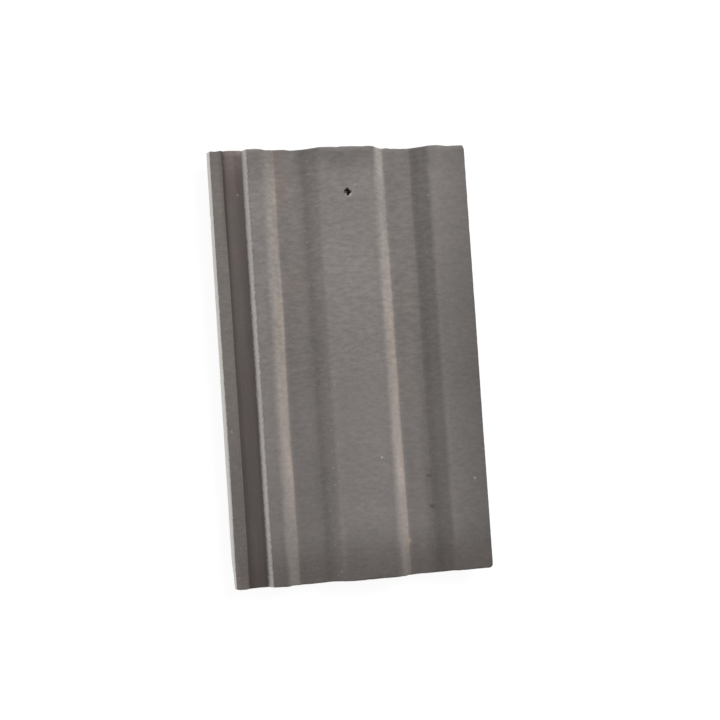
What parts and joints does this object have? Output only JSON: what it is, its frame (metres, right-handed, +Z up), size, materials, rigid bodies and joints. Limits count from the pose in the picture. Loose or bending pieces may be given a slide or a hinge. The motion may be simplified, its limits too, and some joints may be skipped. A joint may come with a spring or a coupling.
{
  "type": "concrete roof tile",
  "caption": "Interlocking concrete roof tile with trapezoid rolls and flat pans, a side channel and an overlapping edge, hanging nibs and a nail hole near the head.",
  "frame": {"origin": "middle of the tile's length and width, on the ground that it rests on", "axes": "+Y from the tail to the head, +X from the channel edge to the overlapping edge, +Z up, with the face of the tile upwards"},
  "size_m": [0.2307, 0.3804, 0.0393],
  "materials": {
    "concrete": "matte"
  },
  "bodies": {
    "root": {"tile": "concrete"}
  },
  "joints": []
}
